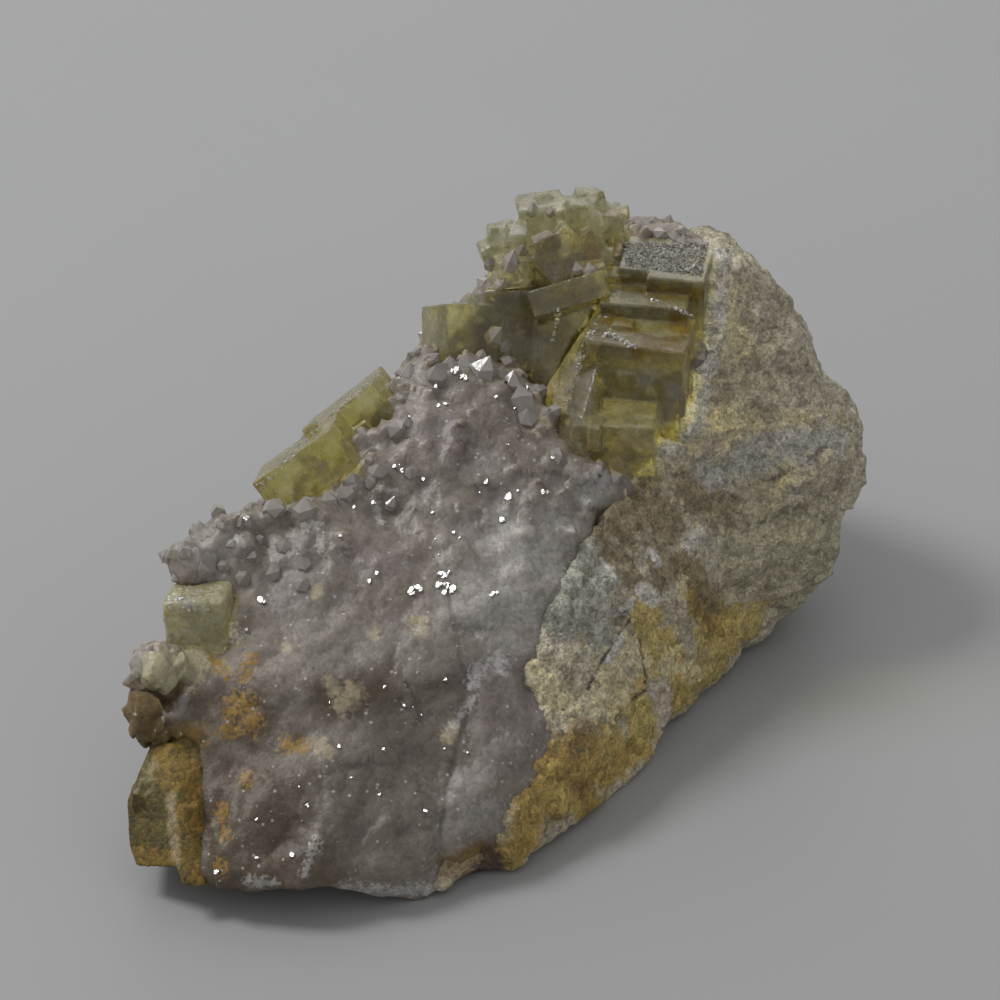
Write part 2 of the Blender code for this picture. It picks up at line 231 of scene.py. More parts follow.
def makeGrainGroup():
    # Mineral grains: a colour shift and a height that change from grain to grain, and a few bright grains.
    group, start, end = newGroup("mineral grain", ["Position", "Scale", "Contrast", "Bright"],
                                 ["Tone", "Height", "Specks"])
    cells = put(group, "ShaderNodeTexVoronoi", Vector=start["Position"], Scale=start["Scale"])
    split = put(group, "ShaderNodeSeparateColor", Color=cells.outputs["Color"])
    fineScale = maths(group, "MULTIPLY", start["Scale"], 2.3)
    fine = put(group, "ShaderNodeTexNoise", Vector=start["Position"], Scale=fineScale,
               Detail=3.0, Roughness=0.7)
    mixed = maths(group, "ADD", maths(group, "MULTIPLY", split.outputs[0], 0.5), fine.outputs["Fac"])
    centred = maths(group, "SUBTRACT", mixed, 0.75)
    group.links.new(maths(group, "MULTIPLY_ADD", centred, start["Contrast"], 1.0), end["Tone"])
    dome = maths(group, "SUBTRACT", 1.0, cells.outputs["Distance"])
    group.links.new(maths(group, "MULTIPLY_ADD", fine.outputs["Fac"], 0.8, dome), end["Height"])
    chosen = maths(group, "LESS_THAN", split.outputs[1], start["Bright"])
    dot = ramp(group, cells.outputs["Distance"], 0.5, 0.2)
    group.links.new(maths(group, "MULTIPLY", chosen, dot), end["Specks"])
    return group


stainGroup = makeStainGroup()
grainGroup = makeGrainGroup()


def maskOf(tree, name):
    node = tree.nodes.new("ShaderNodeAttribute")
    node.attribute_name = name
    return node.outputs["Fac"]


def stained(tree, values, stains):
    # Two colours in soft clouds, with the painted stains over them, the first one lowest.
    clouds = noiseAt(tree, *values["clouds"])
    colour = blendColours(tree, ramp(tree, clouds, *values["cloudEdge"]), *values["colours"])
    patches = {}
    for mask, (tint, scale, ragged, soft, amount) in stains.items():
        if scale not in patches:
            patches[scale] = noiseAt(tree, scale, 5.0, 0.68)
        share = useGroup(tree, stainGroup, Mask=maskOf(tree, mask), Patches=patches[scale],
                         Ragged=ragged, Soft=soft)["Share"]
        colour = blendColours(tree, maths(tree, "MULTIPLY", share, amount), colour, tint)
    return colour, clouds


def grained(tree, scale, contrast, bright=0):
    # The grain group, with its scale in grains per millimetre.
    return useGroup(tree, grainGroup, Position=objectSpace(tree), Scale=scale / mm, Contrast=contrast,
                    Bright=bright)


def shaded(tree, colour, tone):
    # The colour made lighter or darker by a grey tone round 1.
    grey = put(tree, "ShaderNodeCombineColor", Red=tone, Green=tone, Blue=tone)
    return blendColours(tree, 1.0, colour, grey.outputs["Color"], "MULTIPLY")


def bump(tree, height, distance, strength=1.0):
    node = put(tree, "ShaderNodeBump", Height=height, Distance=distance * mm, Strength=strength)
    return node.outputs["Normal"]


# Mesh helpers.

def readOff(items, what, width, kind):
    flat = np.empty(len(items) * width, dtype=kind)
    items.foreach_get(what, flat)
    return flat.reshape(-1, width)


def corners(mesh):
    return readOff(mesh.vertices, "co", 3, float)


def cornerNormals(mesh):
    return readOff(mesh.vertex_normals, "vector", 3, np.float32).astype(float)


def setCorners(mesh, points):
    mesh.vertices.foreach_set("co", np.asarray(points, dtype=np.float32).ravel())
    mesh.update()


def relax(mesh, rounds, share=0.5):
    # Evens out the facets: each corner moves towards the middle of its neighbours.
    points, edges = corners(mesh), readOff(mesh.edges, "vertices", 2, np.int32)
    ends = np.concatenate([edges, edges[:, ::-1]])
    near = np.bincount(ends[:, 0], minlength=len(points))
    for _ in range(rounds):
        middle = np.stack([np.bincount(ends[:, 0], weights=points[ends[:, 1], axis],
                                       minlength=len(points)) for axis in range(3)], axis=1)
        points += (middle / near[:, None] - points) * share
    setCorners(mesh, points)


def treeOf(mesh):
    return BVHTree.FromPolygons([vert.co for vert in mesh.vertices],
                                [tuple(face.vertices) for face in mesh.polygons])


def joined(meshes):
    whole = bmesh.new()
    for mesh in meshes:
        whole.from_mesh(mesh)
    return whole


def joinedTree(meshes):
    whole = joined(meshes)
    tree = BVHTree.FromBMesh(whole)
    whole.free()
    return tree


def graft(mesh, neighbours, gap, past):
    # Pushes what faces a neighbour across the gap and into it, so that the two are grown together.
    for name in neighbours:
        tree = treeOf(nodes[name].data)
        for vert in mesh.vertices:
            found = tree.find_nearest(vert.co, gap * mm)
            if found[0] is None or found[3] < 1e-6:
                continue
            vert.co += (found[0] - vert.co) / found[3] * (found[3] + past * mm)


def addPiece(name, mesh):
    piece = bpy.data.objects.new(name, mesh)
    bpy.context.scene.collection.objects.link(piece)
    return piece


def skin(name, meshes, voxel):
    # One closed skin round all the meshes, with corners a voxel apart.
    whole = joined(meshes)
    raw = bpy.data.meshes.new(name + "_raw")
    whole.to_mesh(raw)
    whole.free()
    piece = addPiece(name, raw)
    wrap = piece.modifiers.new("skin", "REMESH")
    wrap.mode = "VOXEL"
    wrap.voxel_size = voxel * mm
    graph = bpy.context.evaluated_depsgraph_get()
    made = bpy.data.meshes.new_from_object(piece.evaluated_get(graph))
    piece.modifiers.clear()
    piece.data = made
    made.name = name
    return piece


def spots(points):
    # The corners as vectors in millimetres, for the noise functions.
    return [Vector(point) for point in points / mm]


def cloud(where, scale, octaves=4, start=0.0):
    shift = Vector((start, start * 0.7, -start))
    return np.array([noise.fractal(at * scale + shift, 1.0, 2.0, octaves) for at in where])


def lumps(where, height, scale, octaves, start):
    # Soft lumps in millimetres. Height may be a number or one number for each corner.
    return height * cloud(where, scale, octaves, start)


def highest(where, nearest, rise):
    # What the highest of the nearest cells reaches at each corner. Each cell has numbers of its own.
    heights = []
    for at in where:
        centres = noise.voronoi(at)[1][:nearest]
        heights.append(max(rise(at - centre, noise.cell_vector(centre * 7.3)) for centre in centres))
    return np.array(heights)


def breaks(where, height, scale, start, spread):
    # Broken planes in millimetres: each cell has its tilt, and the highest plane shows.
    def plane(away, chance):
        return spread * (chance - Vector((0.5, 0.5, 0.5))).dot(away) - 0.5 * away.length_squared

    shift = Vector((-start, start, start * 0.3))
    return height * (highest([at * scale + shift for at in where], 3, plane) + 0.3)   # middle near 0


def smooth(low, high, values):
    share = np.clip((values - low) / (high - low), 0, 1)
    return share * share * (3 - 2 * share)


def hiddenSide(outward):
    # How far each corner is turned away from the side with the crystals.
    return smooth(0.3, 0.65, outward @ np.array(backWay))


def addWeather(masks, where, back, kinds):
    # Stains that nobody painted, in patches of their own on the hidden side.
    for name, (scale, start, low) in kinds.items():
        patches = smooth(low, low + 0.2, cloud(where, scale, 4, start))
        masks[name] = np.maximum(masks[name], back * patches)


def painted(tree, points, strokes):
    # A soft mask: 1 on the strokes, a half at their reach and 0 at twice that.
    mask = np.zeros(len(points))
    for *route, reach in strokes:
        met = [onPiece(tree, x, y)[0] or onPiece(wholeTree, x, y)[0] for x, y in route]
        met = [np.array(at) for at in met if at is not None]
        for first, second in zip(met, met[1:] or met):
            run = second - first
            share = np.clip((points - first) @ run / max(float(run @ run), 1e-12), 0, 1)
            away = np.linalg.norm(points - first - share[:, None] * run, axis=1)
            mask = np.maximum(mask, np.clip(1 - away / (2 * reach * mm), 0, 1))
    return mask


def paintedMasks(piece, points, table):
    tree = treeOf(piece.data)
    return {name: painted(tree, points, strokes) for name, strokes in table.items()}


def lift(piece, points, outward, height, masks):
    # Moves the corners out by their heights in millimetres, less and less towards the floor,
    # and keeps the masks on them for the finish.
    resting = smooth(0.2, 1.2, points[:, 2] / mm)
    points += outward * (height * resting * mm)[:, None]
    points[:, 2] = np.maximum(points[:, 2], 0)
    setCorners(piece.data, points)
    for name, mask in masks.items():
        made = piece.data.attributes.new(name, "FLOAT", "POINT")
        made.data.foreach_set("value", mask.astype(np.float32))


def dress(piece, material, replaced, smoothShade=True):
    # Hands the piece its finish and its place in the frame, and hides the solids that it stands for.
    piece.data.materials.clear()
    piece.data.materials.append(material)
    piece.data.polygons.foreach_set("use_smooth", [smoothShade] * len(piece.data.polygons))
    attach(piece, "root")
    if replaced:
        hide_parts(*replaced)
    print(piece.name, len(piece.data.polygons), "faces")


# A stroke is a run of frame points and its reach in millimetres. A stain is its colour, its patches
# per millimetre, how ragged and how soft its edge is, and its strength. Weather is its patches per
# millimetre, where their noise starts and the level that they show from.

# The host rock.

rockValues = {
    "voxel": 0.335,
    "relax": 6,
    "intoFluorite": (0.45, 0.35),          # the gap that is closed, and how far past it
    "swell": (0.6, 0.14, 3, 4.0),          # height in millimetres, lumps per millimetre, octaves, start
    "backSwell": 0.5,
    "flakes": (0.75, 0.36, 2.0, 1.3),      # height, cells per millimetre, start, tilt
    "scales": (0.32, 0.95, 7.0, 1.3),
    "crumb": (0.22, 1.1, 3, 5.0),
    "relief": {"flake": 0.35, "whiteCrust": 0.2, "creaseShade": -0.2, "crack": -0.25, "greyBand": -0.2},
    "colours": ((0.33, 0.29, 0.205), (0.44, 0.40, 0.30)),
    "clouds": (0.16, 5.0, 0.6, 0.4),       # lumps per millimetre, detail, roughness, twist
    "cloudEdge": (0.35, 0.7),
    "coarseGrain": (1.1, 1.1),             # grains per millimetre, contrast
    "fineGrain": (3.4, 1.15),
    "roughness": 0.82,
    "grainHeight": 0.12,
}

rockStains = {
    "olive": ((0.325, 0.295, 0.195), 0.3, 0.25, 0.3, 0.75),
    "ochre": ((0.31, 0.21, 0.045), 0.3, 0.35, 0.25, 0.92),
    "yellow": ((0.4, 0.295, 0.085), 0.5, 0.4, 0.2, 0.85),
    "rust": ((0.21, 0.125, 0.04), 0.5, 0.5, 0.3, 0.65),
    "brown": ((0.2, 0.16, 0.09), 0.5, 0.35, 0.15, 0.8),
    "flake": ((0.29, 0.288, 0.238), 0.5, 0.25, 0.1, 0.9),
    "cream": ((0.52, 0.455, 0.27), 0.9, 0.6, 0.15, 0.85),
    "greyBand": ((0.36, 0.35, 0.315), 0.5, 0.4, 0.2, 0.8),
    "whiteCrust": ((0.5, 0.48, 0.43), 0.9, 0.4, 0.15, 0.85),
    "maroon": ((0.045, 0.025, 0.018), 0.9, 0.3, 0.25, 0.85),
    # Painted shade: the shadowed fold under the grey band and two small spots, all also sunk a little.
    "creaseShade": ((0.1, 0.09, 0.075), 1.5, 0.9, 0.35, 0.7),
    "crack": ((0.07, 0.055, 0.035), 1.5, 0.25, 0.25, 0.9),
    "edgeLine": ((0.26, 0.17, 0.06), 0.9, 0.35, 0.25, 0.8),
}

rockStrokes = {
    "olive": [((770, 530), (810, 540), (800, 580), 4.5), ((740, 520), (740, 570), 2.8)],
    "ochre": [
        ((545, 765), (575, 765), (605, 770), 2.8), ((530, 795), (560, 795), (590, 800), 2.5),
        ((528, 822), (514, 848), 2.2), ((672, 655), (680, 695), 1.4), ((690, 590), (720, 625), 2.2),
        ((640, 745), (615, 760), 1.8)],
    "yellow": [
        ((640, 615), (660, 640), (650, 655), 2.2), ((630, 700), (640, 720), (645, 740), 2.2),
        ((610, 735), (600, 750), 2), ((680, 690), (720, 650), (750, 622), 2.5),
        ((555, 780), (562, 800), 1.4), ((700, 640), (735, 620), 2), ((668, 640), (672, 700), 2)],
    "rust": [
        ((575, 727), (590, 742), (568, 745), 1.7), ((690, 572), (700, 600), (712, 625), 1.6),
        ((560, 775), (585, 790), 1), ((452, 866), (462, 856), (474, 866), 1.8)],
    "brown": [
        ((612, 525), (640, 505), (665, 520), 2.8), ((605, 545), (628, 572), 1.9),
        ((660, 580), (670, 562), 1.3), ((690, 492), (720, 510), 2.4), ((650, 480), (640, 492), 1.2),
        ((655, 558), (692, 575), (712, 600), 1.8)],
    "flake": [((582, 560), (577, 590), (560, 620), 2.3), ((600, 578), (592, 605), (597, 640), 1.9)],
    "cream": [
        ((520, 655), (532, 670), 1.1), ((545, 690), (562, 705), 1.5),
        ((600, 665), (615, 690), (600, 705), 2), ((625, 650), (640, 660), 1.4),
        ((668, 660), (690, 670), 1.5), ((790, 420), (830, 425), 1.4), ((735, 440), (760, 452), 1.1),
        ((715, 418), (745, 425), 1.8), ((682, 580), (678, 598), 0.7), ((720, 300), (732, 340), 2.2)],
    "greyBand": [((740, 458), (780, 450), (830, 436), 1.9), ((700, 470), (720, 478), 1.6)],
    "whiteCrust": [
        ((716, 262), (717, 300), (712, 345), 1), ((706, 365), (698, 400), (684, 425), (664, 447), 1.2),
        ((652, 458), (622, 484), (602, 505), 0.8), ((694, 382), (690, 412), 1.2),
        ((686, 545), (700, 530), 0.7), ((650, 552), (655, 562), 0.7), ((640, 590), (652, 600), 0.8),
        ((632, 600), (622, 612), 0.4), ((620, 640), (605, 660), 0.6),
        ((578, 545), (600, 560), (612, 582), 0.35)],
    "maroon": [((487, 852), (494, 868), (480, 872), 1.5), ((505, 872), (498, 878), 0.6)],
    # Painted shade along the shadowed fold under the grey band, and in two small spots.
    "creaseShade": [
        ((748, 484), (775, 479), (800, 466), (825, 447), 0.2), ((572, 748), (578, 752), 0.45),
        ((616, 622), (626, 612), 0.3)],
    "crack": [
        ((628, 620), (604, 655), (586, 690), 0.2), ((640, 640), (645, 690), (658, 738), 0.2),
        ((643, 690), (612, 722), 0.17)],
    "edgeLine": [((648, 472), (604, 502), (588, 530), (566, 560), (552, 580), (535, 612), 0.6)],
}

rockWeather = {
    "ochre": (0.08, 3.0, 0.1),
    "brown": (0.11, 11.0, 0.08),
    "rust": (0.2, 27.0, 0.2),
    "cream": (0.13, 19.0, 0.12),
}


def rockFinish(values):
    material, tree, shader = newMaterial("host_rock")
    fine = grained(tree, *values["fineGrain"])
    tone = maths(tree, "MULTIPLY", grained(tree, *values["coarseGrain"])["Tone"], fine["Tone"])
    fill(tree, shader, Base_Color=shaded(tree, stained(tree, values, rockStains)[0], tone),
         Roughness=values["roughness"], Normal=bump(tree, fine["Height"], values["grainHeight"]))
    return material


def makeRock(values):
    mesh = nodes["matrix_rock"].data.copy()
    graft(mesh, fluoriteNodes, *values["intoFluorite"])
    piece = skin("host_rock", [mesh], values["voxel"])
    relax(piece.data, values["relax"])
    points, outward = corners(piece.data), cornerNormals(piece.data)
    where, back = spots(points), hiddenSide(outward)
    masks = paintedMasks(piece, points, rockStrokes)
    addWeather(masks, where, back, rockWeather)
    swell, *lie = values["swell"]
    height = lumps(where, swell + values["backSwell"] * back, *lie)
    height += breaks(where, *values["flakes"]) + breaks(where, *values["scales"])
    height += lumps(where, *values["crumb"])
    for name, rise in values["relief"].items():
        height += rise * smooth(0.38, 0.62, masks[name])
    lift(piece, points, outward, height, masks)
    dress(piece, rockFinish(values), ["matrix_rock"])


# The quartz crust.

crustValues = {
    "voxel": 0.42,
    "relax": 3,
    "intoFluorite": (0.45, 0.35),          # the gap that is closed, and how far past it
    "intoRock": (0.45, 1.0),
    "swell": (0.5, 0.13, 3, 9.0),          # as for the rock
    "breaks": (0.5, 0.2, 6.0, 1.6),
    "backBreaks": (1.0, 0.13, 4.0, 1.8),
    "chips": (0.2, 0.75, 2.0, 1.6),
    "crumb": (0.06, 1.1, 2, 3.0),
    "crumbOnHeads": 0.3,
    "knobBreaks": (2.0, 0.42, 1.0, 1.8),
    "knobCrumb": (0.6, 0.9, 3, 0.0),
    "knobSink": 0.1,
    "relief": {"whiteVeins": 0.06, "earth": -0.15, "fissure": -0.16, "lobes": 0.6},
    "colours": ((0.157, 0.131, 0.103), (0.198, 0.171, 0.141)),
    "clouds": (0.14, 2.0, 0.5, 0.4),
    "cloudEdge": (0.3, 0.7),
    "speckColour": (0.52, 0.50, 0.47),
    "speckShare": 0.6,
    "grain": (2.2, 0.7, 0.03),             # grains per millimetre, contrast, share of bright ones
    "grainHeight": 0.045,
    "polish": (0.52, 0.42),                # roughness below the heads and on them
    "cloudiness": 0.75,
    "bleed": (1.0, 0.82, 0.68),
    "bleedScale": 2.4,
    "bend": 1.544,
}

headValues = {              # the low crystal heads on the upper slope
    "wide": (0.2, 0.25, 0.12, 3.0),        # heads per millimetre, slope, how uneven, start
    "small": (0.42, 0.22, 0.14, 8.0),
    "from": (12.0, 15.0),    # how far up the slope they start, in millimetres
    "above": (8.0, 11.0),    # and how far above the floor
    "even": 30,              # rounds of smoothing under them
}

crustStains = {
    "smoky": ((0.09, 0.076, 0.058), 0.3, 0.3, 0.4, 0.75),
    "violet": ((0.16, 0.132, 0.135), 0.3, 0.3, 0.4, 0.55),
    "haze": ((0.19, 0.168, 0.146), 0.3, 0.3, 0.4, 0.7),
    "milky": ((0.35, 0.33, 0.31), 0.3, 0.3, 0.4, 0.75),
    "warm": ((0.065, 0.041, 0.017), 0.3, 0.3, 0.4, 0.88),
    "cream": ((0.44, 0.38, 0.24), 0.9, 0.45, 0.3, 0.6),
    "lemon": ((0.36, 0.335, 0.2), 0.9, 0.4, 0.35, 0.75),
    "limonite": ((0.26, 0.15, 0.012), 2.2, 1.2, 0.35, 0.92),
    "earth": ((0.17, 0.105, 0.022), 0.9, 0.35, 0.2, 0.92),
    "facetPale": ((0.225, 0.207, 0.19), 0.9, 0.3, 0.25, 0.75),
    "fissure": ((0.1, 0.08, 0.055), 0.9, 0.5, 0.4, 0.5),
    "whiteVeins": ((0.42, 0.41, 0.4), 2.2, 0.9, 0.35, 0.65),
    "brown": ((0.105, 0.068, 0.02), 0.9, 0.3, 0.25, 0.95),
}

crustStrokes = {
    "smoky": [
        ((370, 715), (400, 735), (380, 770), (340, 800), 4), ((650, 214), (690, 228), 1.4),
        ((400, 700), (430, 695), (455, 685), 1.8), ((440, 745), (440, 780), (430, 800), 2.4),
        ((280, 780), (290, 830), 3.5), ((360, 830), (395, 835), 1.6), ((300, 540), (310, 560), 1.2),
        ((250, 610), (245, 622), 0.8)],
    "violet": [
        ((495, 690), (510, 730), (520, 700), 2.8), ((285, 600), (300, 562), 2.4),
        ((440, 430), (470, 460), 2.4), ((355, 555), (390, 560), 2)],
    "milky": [
        ((500, 545), (505, 580), (480, 610), 3.4), ((500, 600), (505, 640), 2.8),
        ((555, 530), (535, 570), (520, 610), 2.4), ((600, 482), (588, 500), 1.4),
        ((200, 560), (235, 545), 1.6), ((188, 548), (194, 552), 1)],
    "haze": [
        ((316, 600), (318, 650), (335, 670), 2.4), ((350, 650), (400, 650), (430, 642), 3),
        ((490, 480), (560, 500), 3), ((440, 500), (480, 560), 2.4)],
    "warm": [
        ((220, 770), (220, 860), 4), ((235, 700), (262, 750), 3.2), ((250, 780), (275, 860), 4.5),
        ((330, 700), (380, 690), 2.2), ((200, 700), (205, 740), 1.6), ((300, 850), (320, 870), 2.4)],
    "cream": [
        ((330, 685), (335, 690), 0.8), ((352, 694), (345, 705), 1.1), ((416, 622), (424, 630), 0.9),
        ((372, 640), (376, 632), 0.5), ((320, 748), (323, 755), 0.8), ((285, 648), (287, 650), 0.5),
        ((318, 590), (316, 596), 0.6), ((452, 728), (446, 738), 0.7), ((536, 405), (540, 425), 0.9)],
    "lemon": [((172, 680), (196, 662), 1.8), ((152, 672), (170, 676), 1.8)],
    "limonite": [
        ((235, 700), (231, 712), 0.8), ((245, 706), (253, 723), 1), ((224, 731), (240, 728), 0.6),
        ((285, 745), (305, 748), 0.7), ((222, 812), (223, 818), 0.7), ((225, 830), (226, 836), 0.5),
        ((222, 863), (223, 868), 0.5), ((245, 778), (247, 784), 0.6), ((250, 660), (245, 676), 0.6),
        ((216, 662), (226, 672), 0.6)],
    "earth": [((172, 735), (194, 735), 1.4), ((455, 862), (472, 850), 1.8)],
    "facetPale": [
        ((490, 760), (505, 745), 1.6), ((452, 800), (470, 785), (484, 770), 1.6),
        ((450, 830), (480, 812), 2.2), ((146, 655), (142, 668), 1), ((178, 700), (168, 716), 1)],
    "fissure": [
        ((448, 586), (450, 612), (456, 640), (459, 660), (465, 680), (461, 700),
         (465, 722), (456, 745), (453, 768), (445, 790), (442, 812), (437, 834), 0.28),
        ((314, 762), (320, 790), (327, 823), (318, 850), (309, 876), 0.3),
        ((366, 712), (410, 705), (454, 687), 0.9)],
    "whiteVeins": [
        ((492, 660), (500, 668), 0.8), ((452, 728), (462, 712), (472, 700), 0.4),
        ((318, 838), (311, 856), (304, 874), 0.4), ((470, 684), (477, 668), 0.6),
        ((345, 886), (380, 890), (430, 890), 0.6), ((248, 880), (275, 882), 0.4),
        ((234, 632), (240, 640), 0.6), ((318, 526), (305, 528), 0.4), ((322, 541), (320, 552), 0.35),
        ((375, 500), (383, 520), 0.35), ((380, 489), (398, 491), 0.3)],
    "brown": [
        ((138, 704), (147, 714), (151, 735), (143, 744), 2.4), ((182, 684), (168, 710), (154, 742), 0.5),
        ((486, 852), (494, 868), 1.2)],
    "lobes": [
        ((500, 575), (508, 640), 3.4), ((500, 700), (508, 735), 3), ((470, 800), (462, 838), 2.6),
        ((350, 780), (390, 830), 5)],
}

crustWeather = {
    "warm": (0.07, 31.0, 0.05),
    "haze": (0.1, 5.0, 0.05),
    "earth": (0.12, 14.0, 0.3),
    "limonite": (0.16, 40.0, 0.26),
    "milky": (0.1, 52.0, 0.12),
}

knobStrokes = [((138, 665), (160, 672), (152, 690), 3),
               ((138, 704), (147, 714), (151, 735), (143, 744), 3)]


def crustFinish(values):
    material, tree, shader = newMaterial("cloudy_quartz")
    grain = grained(tree, *values["grain"])
    colour = shaded(tree, stained(tree, values, crustStains)[0], grain["Tone"])
    specks = maths(tree, "MULTIPLY", grain["Specks"], values["speckShare"])
    earthy = maths(tree, "MAXIMUM", maskOf(tree, "brown"), maskOf(tree, "earth"))
    polish = ramp(tree, maskOf(tree, "heads"), 0.0, 1.0, *values["polish"])
    fill(tree, shader, Base_Color=blendColours(tree, specks, colour, values["speckColour"]),
         Roughness=maths(tree, "MAXIMUM", polish, earthy), IOR=values["bend"],
         Subsurface_Weight=values["cloudiness"], Subsurface_Radius=values["bleed"],
         Subsurface_Scale=values["bleedScale"] * mm,
         Normal=bump(tree, grain["Height"], values["grainHeight"]))
    return material


def upSlope(points):
    # How far up the slope each corner lies, in millimetres, with an uneven edge.
    return points @ np.array(druseUp) / mm + 2.5 * cloud(spots(points), 0.12, 2, 7.0)


def headHeights(where, outward, scale, slope, uneven, start):
    # Six-sided tips in millimetres, run together so that the highest one shows.
    first = outward.orthogonal().normalized()
    second = outward.cross(first)

    def tip(away, chance):
        across, up = away.dot(first), away.dot(second)
        reach = max(abs(across * math.cos(angle) + up * math.sin(angle))
                    for angle in (chance.x * 3 + math.pi / 3 * side for side in range(3)))
        return (chance.z - 0.5) * uneven - slope * reach

    shift = Vector((start, -start, start * 0.5))
    return highest([at * scale + shift for at in where], 4, tip) / scale


def makeCrust(values):
    mesh = nodes["quartz_crust"].data.copy()
    graft(mesh, fluoriteNodes, *values["intoFluorite"])
    graft(mesh, ["matrix_rock"], *values["intoRock"])
    piece = skin("quartz_crust_skin", [mesh], values["voxel"])
    relax(piece.data, values["relax"])
    points = corners(piece.data)
    slope = smooth(*headValues["from"], upSlope(points)) * smooth(*headValues["above"], points[:, 2] / mm)
    relax(piece.data, headValues["even"])
    points += (corners(piece.data) - points) * slope[:, None]
    setCorners(piece.data, points)
    outward = cornerNormals(piece.data)
    where, back = spots(points), hiddenSide(outward)
    masks = paintedMasks(piece, points, crustStrokes)
    masks["heads"] = slope
    knobs = smooth(0.3, 0.7, painted(treeOf(piece.data), points, knobStrokes))
    addWeather(masks, where, back, crustWeather)
    height = lumps(where, *values["swell"])
    here = np.flatnonzero(slope > 0)
    facing = Vector(outward[slope > 0.9].mean(axis=0)).normalized()
    for build in ("wide", "small"):
        heads = headHeights([where[i] for i in here], facing, *headValues[build])
        height[here] += slope[here] * (heads - heads.mean())
    rough = breaks(where, *values["breaks"]) + back * breaks(where, *values["backBreaks"])
    height += (1 - slope) * rough + breaks(where, *values["chips"])
    height += (1 - (1 - values["crumbOnHeads"]) * slope) * lumps(where, *values["crumb"])
    height += knobs * (breaks(where, *values["knobBreaks"]) + lumps(where, *values["knobCrumb"])
                       - values["knobSink"])
    for name, rise in values["relief"].items():
        height += rise * smooth(0.3, 0.7, masks[name])
    lift(piece, points, outward, height, masks)
    dress(piece, crustFinish(values), ["quartz_crust"])
    return piece


# Six-sided crystals: free quartz points, bright facets, frost, and grains that also paint glints and sheen.

def anyWay(dice, reach):
    return Vector([dice.uniform(-reach, reach) for _ in range(3)])


def standing(along, dice):
    # Turned to stand along one way, with a twist of its own.
    return along.to_track_quat("Z", "Y").to_matrix() @ Matrix.Rotation(dice.uniform(0, 6.28), 3, "Z")


def ring(girth, levels, narrow=1.0):
    # Six corners round the upright, in millimetres.
    made = []
    for i in range(6):
        angle = math.pi / 3 * i
        made.append(Vector((girth[i] * math.cos(angle), girth[i] * narrow * math.sin(angle), levels[i])))
    return made


def addCrystal(made, at, turn, shape):
    # Two rings of six corners, closed by a seventh upper corner or by a flat top.
    verts, faces = made
    start = len(verts)
    verts += [at + turn @ (corner * mm) for corner in shape]
    faces.append(tuple(start + i for i in (5, 4, 3, 2, 1, 0)))
    if len(shape) == 12:
        faces.append(tuple(start + 6 + i for i in range(6)))
    for i in range(6):
        j = (i + 1) % 6
        faces.append((start + i, start + j, start + 6 + j, start + 6 + i))
        if len(shape) == 13:
            faces.append((start + 6 + i, start + 6 + j, start + 12))


def addPoint(made, at, along, radius, stretch, point, root, dice):
    # A six-sided point: root ring, shoulder ring and tip.
    length = radius * dice.uniform(*stretch)
    turn = standing(along, dice)
    girth = [radius * dice.uniform(0.82, 1.15) for _ in range(6)]
    shoulders = [length - radius * dice.uniform(*point) for _ in range(6)]
    tip = Vector((dice.uniform(-0.25, 0.25) * radius, dice.uniform(-0.25, 0.25) * radius, length))
    addCrystal(made, at, turn, ring(girth, [-root] * 6) + ring(girth, shoulders) + [tip])


def addTablet(made, at, look, reach, depth, rise, dice):
    # A six-sided flake with its flat top turned to look one way.
    turn = standing(look, dice)
    girth = [reach * dice.uniform(0.5, 1.35) for _ in range(6)]
    narrow = dice.uniform(0.45, 1)
    root = ring([wide * 0.7 for wide in girth], [-depth] * 6, narrow)
    addCrystal(made, at, turn, root + ring(girth, [rise] * 6, narrow))


def crystalPiece(name, made, material):
    mesh = bpy.data.meshes.new(name)
    mesh.from_pydata(made[0], [], made[1])
    mesh.update()
    dress(addPiece(name, mesh), material, [], smoothShade=False)


def pickSpots(points, allowed, spacing, dice):
    # Corners of a mesh, taken at random and no nearer to each other than the spacing.
    order = [int(i) for i in np.flatnonzero(allowed)]
    dice.shuffle(order)
    taken, chosen = {}, []
    for i in order:
        cell = tuple(np.floor(points[i] / (spacing * mm)).astype(int))
        near = [taken.get((cell[0] + a, cell[1] + b, cell[2] + c))
                for a in (-1, 0, 1) for b in (-1, 0, 1) for c in (-1, 0, 1)]
        if any(j is not None and np.linalg.norm(points[j] - points[i]) < spacing * mm for j in near):
            continue
        taken[cell] = i
        chosen.append(i)
    return chosen


def clearOf(points, allowed, names, gap):
    # Only the corners that lie farther than the gap from the named solids.
    trees = [treeOf(nodes[name].data) for name in names]
    kept = allowed.copy()
    for i in np.flatnonzero(allowed):
        kept[i] = all(tree.find_nearest(points[i], gap * mm)[0] is None for tree in trees)
    return kept


druseValues = {
    "seed": 11,
    "above": 11,             # millimetres above the floor
    "from": 12,              # and up the slope
    "facing": -0.3,          # nothing grows where the crust looks down more than this
    "fromRock": 0.9,
    "fromFluorite": 0.35,    # the fringe lies between these two distances from the fluorite
    "fringeEnd": 2.2,
    "skyline": (-19, 9),     # and also left of and behind these, at the far left
    "fringe": {"spacing": 2.3, "radius": (0.55, 1.0), "stretch": (0.7, 1.2), "point": (0.8, 1.1),
               "root": 1.0, "lean": 0.5},
    "single": {"stretch": (0.6, 1.1), "point": (0.75, 1.05), "lean": 0.7},
}

